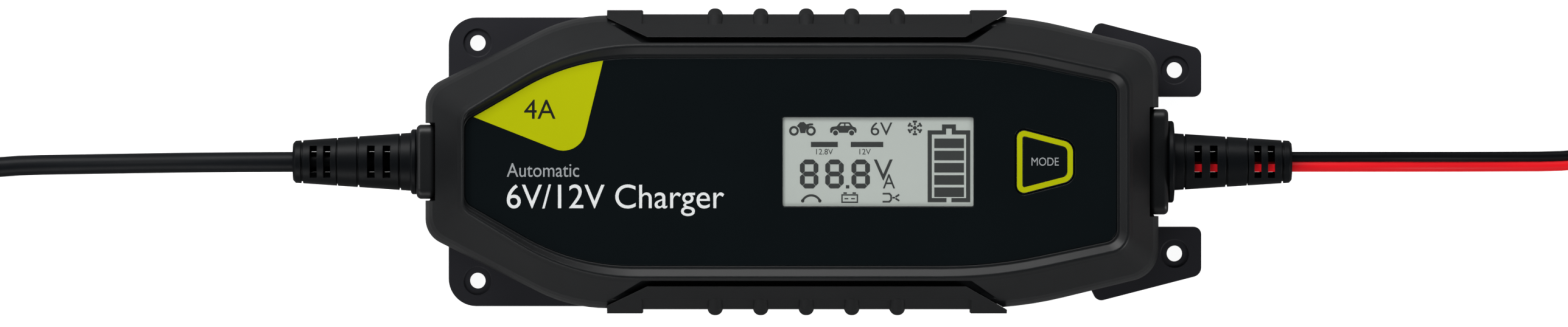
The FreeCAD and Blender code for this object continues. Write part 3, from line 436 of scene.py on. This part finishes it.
def battery_lead(materials):
    """A flat lead of two cores joined side by side, black and red."""
    path = sampled("lead_line", millimetres(LEAD_ROUTE + LEAD_COIL + LEAD_TAIL))
    web = math.acos(-CORE_OFFSET / CORE_RADIUS)
    black = core_arc(CORE_OFFSET, -web, web, CORE_STEPS)
    red = core_arc(-CORE_OFFSET, math.pi - web, math.pi + web, CORE_STEPS)
    section = black + red[1:-1]

    cord = mesh_piece("battery_lead_cores",
                      lambda shape: sweep(shape, path, section, lead_lean))
    dress(cord, materials["lead_black"])
    cord.data.materials.append(materials["lead_sheath"])
    around = len(section)
    for face in cord.data.polygons[:around * (len(path) - 1)]:
        face.material_index = 0 if face.index % around < CORE_STEPS else 1
    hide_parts("battery_lead", "battery_lead_coil", "battery_lead_tail")
    tie = coil_strap("battery_lead_strap", "battery_lead_tie", materials)


def coil_strap(name, node, materials):
    """A hook-and-loop strap closed round a coil, with its free end lapped on top."""
    low, high = corners(node)
    middle = (low + high) / 2
    thick = 0.9 * MM
    half_wide = 4.2 * MM
    bend = 2.2 * MM
    half_long = (high.x - low.x) / 2 - thick / 2
    half_tall = (high.z - low.z) / 2 - thick / 2
    out_by, up_by = half_long - bend, half_tall - bend
    corners_at = [(out_by, up_by, 0), (-out_by, up_by, 1),
                  (-out_by, -up_by, 2), (out_by, -up_by, 3)]
    line = []
    for x, z, quarter in corners_at:
        for step in range(7):
            angle = (quarter + step / 6) * math.pi / 2
            line.append((x + bend * math.cos(angle), z + bend * math.sin(angle), 0.0))
    line.append((line[0][0], line[0][1], 0.0))
    # the lapped end: up the first corner again and along the top, one strap higher
    line += [(x, z + thick * 0.2, thick) for x, z, _ in line[1:8]]
    line.append((line[-1][0] - 4.0 * MM, line[-1][1], thick))

    def fill(shape):
        rings = []
        for index, (x, z, _) in enumerate(line):
            before = line[max(index - 1, 0)]
            after = line[min(index + 1, len(line) - 1)]
            run = Vector((after[0] - before[0], 0, after[1] - before[1])).normalized()
            out = Vector((run.z, 0, -run.x))
            lap = out * line[index][2]
            centre = Vector((middle.x + x, middle.y, middle.z + z)) + lap
            rings.append([shape.verts.new(centre + Vector((0, wide, 0)) + out * off)
                          for wide, off in ((-half_wide, -thick / 2), (half_wide, -thick / 2),
                                            (half_wide, thick / 2), (-half_wide, thick / 2))])
        for first, second in zip(rings, rings[1:]):
            for index in range(4):
                after = (index + 1) % 4
                shape.faces.new((first[index], first[after], second[after], second[index]))
        shape.faces.new(rings[0][::-1])
        shape.faces.new(rings[-1])

    strap = mesh_piece(name, fill)
    edge = strap.modifiers.new("soft_edge", "BEVEL")
    edge.width = 0.2 * MM
    edge.segments = 2
    dress(strap, materials["tie_strap"])
    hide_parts(node)
    return strap


# ------------------------------------------------------- print and display

INK = 0.02 * MM


def ring_points(x, y, radius, count=28):
    return [(x + radius * math.cos(i * math.tau / count),
             y + radius * math.sin(i * math.tau / count)) for i in range(count)]


def rect(left, bottom, right, top):
    return [(left, bottom), (right, bottom), (right, top), (left, top)]


def stroke(start, end, width):
    """A straight mark of the given width."""
    run = Vector((end[0] - start[0], end[1] - start[1])).normalized()
    off = Vector((-run.y, run.x)) * width / 2
    return [(start[0] + off.x, start[1] + off.y), (start[0] - off.x, start[1] - off.y),
            (end[0] - off.x, end[1] - off.y), (end[0] + off.x, end[1] + off.y)]


def bow(x, y, outer, inner, start, stop, count=14):
    """A curved mark between two angles."""
    angles = [start + (stop - start) * i / count for i in range(count + 1)]
    return ([(x + outer * math.cos(a), y + outer * math.sin(a)) for a in angles]
            + [(x + inner * math.cos(a), y + inner * math.sin(a)) for a in reversed(angles)])


def printed(name, outlines, level, material, body="charger"):
    """Flat ink in closed (x, y) outlines in millimetres; an outline inside another
    is a hole in it."""
    curve = bpy.data.curves.new(name, "CURVE")
    curve.dimensions = "2D"
    curve.fill_mode = "BOTH"
    curve.extrude = INK / 2
    for points in outlines:
        spline = curve.splines.new("POLY")
        spline.points.add(len(points) - 1)
        for point, (x, y) in zip(spline.points, points):
            point.co = (x * MM, y * MM, 0, 1)
        spline.use_cyclic_u = True
    carrier = bpy.data.objects.new(name + "_outline", curve)
    mesh = bpy.data.meshes.new_from_object(carrier)
    bpy.data.objects.remove(carrier)
    bpy.data.curves.remove(curve)
    for vertex in mesh.vertices:
        vertex.co.z += level + INK / 2
    mesh.name = name
    return dress(link(name, mesh), material, body)


def lettering(name, words, left, base, cap, width, level, material, body="charger"):
    """Words in Blender's plain built-in font, fitted to a cap height and a width."""
    text = bpy.data.curves.new(name, "FONT")
    text.body = words
    text.size = 1.0
    text.extrude = 0.0
    carrier = bpy.data.objects.new(name + "_text", text)
    mesh = bpy.data.meshes.new_from_object(carrier)
    bpy.data.objects.remove(carrier)
    bpy.data.curves.remove(text)
    low_x = min(vertex.co.x for vertex in mesh.vertices)
    high_x = max(vertex.co.x for vertex in mesh.vertices)
    high_y = max(vertex.co.y for vertex in mesh.vertices)
    for vertex in mesh.vertices:
        vertex.co.x = (left + (vertex.co.x - low_x) / (high_x - low_x) * width) * MM
        vertex.co.y = (base + vertex.co.y / high_y * cap) * MM
        vertex.co.z = level + INK
    mesh.name = name
    return dress(link(name, mesh), material, body)


DIGIT_WIDTH = 5.3
DIGIT_HEIGHT = 8.3
SEGMENT = 1.4


def segment(start, end):
    """One pointed segment between two corners of a digit."""
    (x0, y0), (x1, y1) = start, end
    run = Vector((x1 - x0, y1 - y0)).normalized()
    off = Vector((-run.y, run.x)) * SEGMENT / 2
    tip = run * 0.06
    shoulder = run * (SEGMENT / 2 + 0.04)
    return [(x0 + tip.x, y0 + tip.y), (x0 + shoulder.x + off.x, y0 + shoulder.y + off.y),
            (x1 - shoulder.x + off.x, y1 - shoulder.y + off.y), (x1 - tip.x, y1 - tip.y),
            (x1 - shoulder.x - off.x, y1 - shoulder.y - off.y),
            (x0 + shoulder.x - off.x, y0 + shoulder.y - off.y)]


def digit(left, base):
    """All seven segments of one digit."""
    inset = SEGMENT / 2
    west, east = left + inset, left + DIGIT_WIDTH - inset
    south, north = base + inset, base + DIGIT_HEIGHT - inset
    middle = (south + north) / 2
    pairs = [((west, north), (east, north)), ((west, middle), (east, middle)),
             ((west, south), (east, south)), ((west, south), (west, middle)),
             ((west, middle), (west, north)), ((east, south), (east, middle)),
             ((east, middle), (east, north))]
    return [segment(*pair) for pair in pairs]


def motorcycle():
    """A motorcycle seen from its side, facing right."""
    wheels = []
    for x, y in ((0.45, 8.85), (5.3, 8.85)):
        wheels += [ring_points(x, y, 1.4), ring_points(x, y, 0.75)]
    frame_and_rider = [(1.3, 10.3), (2.2, 11.3), (3.3, 11.4), (4.0, 10.7), (4.9, 11.0),
                       (5.9, 11.0), (6.0, 10.5), (4.9, 10.35), (3.9, 9.3), (3.7, 8.2),
                       (2.3, 8.2), (1.95, 9.7), (1.2, 10.25)]
    return wheels, [frame_and_rider]


def car():
    """A car seen from its side."""
    body = [(10.8, 8.3), (10.8, 9.5), (11.3, 10.0), (12.7, 10.2), (13.6, 11.3),
            (16.4, 11.3), (17.3, 10.1), (18.1, 9.8), (18.4, 9.2), (18.3, 8.3),
            (17.8, 8.3)]
    body += [(16.9 + 0.95 * math.cos(a * math.pi / 8), 8.3 + 0.95 * math.sin(a * math.pi / 8))
             for a in range(1, 8)]
    body += [(16.0, 8.3), (13.3, 8.3)]
    body += [(12.35 + 0.95 * math.cos(a * math.pi / 8), 8.3 + 0.95 * math.sin(a * math.pi / 8))
             for a in range(1, 8)]
    body.append((11.4, 8.3))
    windows = [[(13.5, 10.3), (14.0, 10.9), (14.8, 10.9), (14.8, 10.3)],
               [(15.2, 10.3), (15.2, 10.9), (16.1, 10.9), (16.5, 10.3)]]
    wheels = [ring_points(12.35, 8.25, 0.72, 18), ring_points(16.95, 8.25, 0.72, 18)]
    return [body] + windows + wheels


def snowflake():
    """Six arms with a cross mark on each, round a small hub."""
    x, y = 35.05, 9.7
    marks = [ring_points(x, y, 0.62, 6)]
    for arm in range(6):
        angle = arm * math.pi / 3 + math.pi / 6
        run = Vector((math.cos(angle), math.sin(angle)))
        across = Vector((-run.y, run.x))
        start, end = run * 0.75, run * 1.48
        marks.append(stroke((x + start.x, y + start.y), (x + end.x, y + end.y), 0.52))
        cap = run * 1.82
        one, two = cap - across * 0.62, cap + across * 0.62
        marks.append(stroke((x + one.x, y + one.y), (x + two.x, y + two.y), 0.58))
    return marks


def battery_gauge():
    """A standing battery: a heavy outline, open at its foot, with five bars."""
    wall = 1.2
    left, right, foot, top = 38.7, 50.9, -11.6, 9.0
    bump_left, bump_right, bump_top = 42.8, 46.8, 10.7
    gap_left, gap_right = 44.1, 45.5
    outside = [(gap_left, foot), (left, foot), (left, top), (bump_left, top),
               (bump_left, bump_top), (bump_right, bump_top), (bump_right, top),
               (right, top), (right, foot), (gap_right, foot)]
    inside = [(gap_right, foot + wall), (right - wall, foot + wall),
              (right - wall, top - wall), (bump_right - wall, top - wall),
              (bump_right - wall, bump_top - wall), (bump_left + wall, bump_top - wall),
              (bump_left + wall, top - wall), (left + wall, top - wall),
              (left + wall, foot + wall), (gap_left, foot + wall)]
    bar_height, bar_pitch, first = 2.75, 3.5, -10.1
    bars = [rect(40.6, first + i * bar_pitch, 49.1, first + i * bar_pitch + bar_height)
            for i in range(5)]
    return [outside + inside] + bars


def small_signs():
    """The bottom row: a charge dial's arc, a battery and a clamp."""
    arc = bow(5.4, -12.4, 3.1, 2.45, math.radians(25), math.radians(155))
    ends = [ring_points(2.95, -11.2, 0.5, 12), ring_points(7.85, -11.2, 0.5, 12)]
    case = [rect(14.0, -11.8, 18.8, -9.3), rect(14.4, -11.4, 18.4, -9.7)]
    posts = [rect(14.6, -9.2, 15.6, -8.75), rect(17.2, -9.2, 18.2, -8.75)]
    marks = [rect(14.9, -10.75, 16.0, -10.4), rect(16.8, -10.75, 17.9, -10.4)]
    jaws = [[(25.8, -8.9), (27.9, -8.9), (28.5, -9.6), (28.5, -11.0), (27.9, -11.7),
             (25.8, -11.7), (25.8, -11.2), (27.6, -11.2), (28.0, -10.8), (28.0, -9.8),
             (27.6, -9.4), (25.8, -9.4)],
            stroke((28.6, -10.3), (29.4, -10.3), 0.5),
            stroke((29.5, -10.1), (30.6, -9.4), 0.5), stroke((29.5, -10.5), (30.6, -11.2), 0.5)]
    return [arc], ends + case + posts + marks + jaws


# openings over the red core: distances from the strain relief's tip, and how far
# the core's top is above the lead's middle
RED_WINDOWS = [(5.0, 7.0, 5.0), (8.9, 10.9, 5.1), (21.6, 23.7, 5.5), (26.1, 28.2, 5.7)]
RED_NEAR, RED_FAR = -0.7, -2.9
RED_FOOT = 1.2


def red_core_windows(materials):
    """The lead's red core where it shows through the strain relief's openings."""
    low, high = corners("lead_boot")
    tip = high.x / MM
    level = (low.z + high.z) / 2
    shape = bmesh.new()
    for near, far, top in RED_WINDOWS:
        for vertex in bmesh.ops.create_cube(shape, size=1.0)["verts"]:
            vertex.co.x = (tip - (far if vertex.co.x < 0 else near)) * MM
            vertex.co.y = (RED_NEAR if vertex.co.y > 0 else RED_FAR) * MM
            vertex.co.z = level + (top if vertex.co.z > 0 else RED_FOOT) * MM
    mesh = bpy.data.meshes.new("red_core_windows")
    shape.to_mesh(mesh)
    shape.free()
    dress(link("red_core_windows", mesh), materials["lead_sheath"], "charger")


def display_print(materials):
    """The dark segments, on top of the display's glass and under its window."""
    level = corners("lcd_cell")[1].z
    ink = materials["lcd_ink"]

    def mark(name, outlines):
        printed(name, outlines, level, ink)

    def words(name, text, left, base, cap, width):
        lettering(name, text, left, base, cap, width, level, ink)

    base = -7.65
    digits = [shape for left in (2.15, 9.4, 16.9) for shape in digit(left, base)]
    mark("lcd_digits", digits + [rect(15.3, base, 16.3, base + 0.95)])
    wheels, rest = motorcycle()
    mark("lcd_motorcycle_wheels", wheels)
    mark("lcd_motorcycle", rest)
    mark("lcd_car", car())
    mark("lcd_snowflake", snowflake())
    mark("lcd_battery_gauge", battery_gauge())
    arc, signs = small_signs()
    mark("lcd_dial_arc", arc)
    mark("lcd_small_signs", signs)
    mark("lcd_caption_bars", [rect(5.3, 4.2, 13.0, 5.7), rect(16.7, 4.2, 26.0, 5.7)])
    words("lcd_six_volts", "6V", 22.4, 7.6, 3.7, 6.2)
    words("lcd_caption_left", "12.8V", 6.8, 2.1, 1.6, 4.8)
    words("lcd_caption_right", "12V", 19.2, 2.1, 1.6, 3.2)
    words("lcd_volts", "V", 23.3, -5.3, 5.95, 5.4)
    words("lcd_amperes", "A", 25.9, base, 4.1, 3.5)


def panel_print(materials):
    """The rating on the badge, two plain lines of print and the key's word."""
    badge_top = corners("rating_badge")[1].z
    panel_top = corners("front_panel")[1].z
    key_top = corners("mode_button")[1].z
    lettering("badge_rating", "4A", -76.75, 12.3, 5.5, 9.0, badge_top,
              materials["black_print"])
    lettering("panel_small_line", "Automatic", -81.7, -4.3, 3.9, 20.7, panel_top,
              materials["grey_print"])
    lettering("panel_large_line", "6V/12V Charger", -81.7, -13.3, 6.8, 62.2, panel_top,
              materials["white_print"])
    lettering("key_word", "MODE", 68.4, -1.1, 2.3, 7.8, key_top,
              materials["grey_print"], "mode_key")


# --------------------------------------------------------- floor and light

def make_floor():
    shape = bmesh.new()
    half = 3.0
    corners_at = [(-half, -half), (half, -half), (half, half), (-half, half)]
    shape.faces.new([shape.verts.new((x, y, 0)) for x, y in corners_at])
    mesh = bpy.data.meshes.new("floor")
    shape.to_mesh(mesh)
    shape.free()
    floor = link("floor", mesh)
    mesh.materials.append(floor_paper())


def floor_paper():
    """White paper lit from below as on a light table; what the object mirrors of it
    is a softer grey, as from a floor that falls off into the studio."""
    material, tree, shader = new_material("floor_paper")
    where = add(tree, "ShaderNodeTexCoord")
    cloud = add(tree, "ShaderNodeTexNoise", Scale=3.0, Detail=2.0)
    tree.links.new(where.outputs["Object"], cloud.inputs["Vector"])
    tone = add(tree, "ShaderNodeValToRGB")
    tone.color_ramp.elements[0].color = (0.48, 0.48, 0.482, 1)
    tone.color_ramp.elements[1].color = (0.50, 0.50, 0.50, 1)
    tree.links.new(cloud.outputs["Fac"], tone.inputs["Fac"])
    tree.links.new(tone.outputs["Color"], shader.inputs["Base Color"])
    shader.inputs["Roughness"].default_value = 0.9
    shader.inputs["Specular IOR Level"].default_value = 0.1
    shader.inputs["Emission Color"].default_value = (1, 1, 1, 1)
    shader.inputs["Emission Strength"].default_value = 0.94
    soft = add(tree, "ShaderNodeBsdfDiffuse")
    soft.inputs["Color"].default_value = (0.30, 0.30, 0.30, 1)
    pick = add(tree, "ShaderNodeMixShader")
    ray = add(tree, "ShaderNodeLightPath")
    tree.links.new(ray.outputs["Is Camera Ray"], pick.inputs[0])
    tree.links.new(soft.outputs["BSDF"], pick.inputs[1])
    tree.links.new(shader.outputs["BSDF"], pick.inputs[2])
    output = tree.nodes["Material Output"]
    tree.links.new(pick.outputs["Shader"], output.inputs["Surface"])
    return material


def area_light(name, place, target, size, watts):
    data = bpy.data.lights.new(name, "AREA")
    data.shape = "RECTANGLE"
    data.size, data.size_y = size
    data.energy = watts
    light = link(name, data)
    light.location = place
    aim = Vector(target) - Vector(place)
    light.rotation_euler = aim.to_track_quat("-Z", "Y").to_euler()
    return light


def make_world():
    """A pale backdrop round a studio that is dim overhead and at the ends."""
    world = bpy.data.worlds.new("studio")
    scene.world = world
    world.use_nodes = True
    tree = world.node_tree
    room = tree.nodes["Background"]
    where = add(tree, "ShaderNodeTexCoord")
    split = add(tree, "ShaderNodeSeparateXYZ")
    height = add(tree, "ShaderNodeValToRGB")
    steps = height.color_ramp.elements
    steps[0].position = 0.0
    steps[0].color = (0.30, 0.30, 0.30, 1)
    steps[1].position = 0.95
    steps[1].color = (0.055, 0.065, 0.07, 1)
    middle = steps.new(0.5)
    middle.color = (0.20, 0.20, 0.205, 1)
    tree.links.new(where.outputs["Generated"], split.inputs["Vector"])
    tree.links.new(split.outputs["Z"], height.inputs["Fac"])
    tree.links.new(height.outputs["Color"], room.inputs["Color"])
    backdrop = add(tree, "ShaderNodeBackground")
    backdrop.inputs["Color"].default_value = (0.86, 0.86, 0.87, 1)
    pick = add(tree, "ShaderNodeMixShader")
    ray = add(tree, "ShaderNodeLightPath")
    tree.links.new(ray.outputs["Is Camera Ray"], pick.inputs[0])
    tree.links.new(room.outputs["Background"], pick.inputs[1])
    tree.links.new(backdrop.outputs["Background"], pick.inputs[2])
    tree.links.new(pick.outputs["Shader"], tree.nodes["World Output"].inputs["Surface"])


def make_lights():
    make_world()
    area_light("key_light", (-0.30, 0.95, 0.6), (0, 0, 0), (1.3, 0.5), 14)
    area_light("fill_light", (-0.6, -1.0, 0.6), (-0.03, 0, 0), (1.2, 0.5), 6)
    area_light("end_light", (-1.2, 0.2, 1.0), (0.05, 0, 0), (0.4, 0.4), 4)
    area_light("lead_light", (0.9, -0.55, 0.45), (0.15, 0, 0), (0.4, 0.4), 4.5)


def main():
    make_camera()
    materials = make_materials()
    dress_cad_nodes(materials)
    mains_cord(materials)
    battery_lead(materials)
    red_core_windows(materials)
    display_print(materials)
    panel_print(materials)
    make_floor()
    make_lights()
    scene.view_settings.view_transform = "Standard"


main()
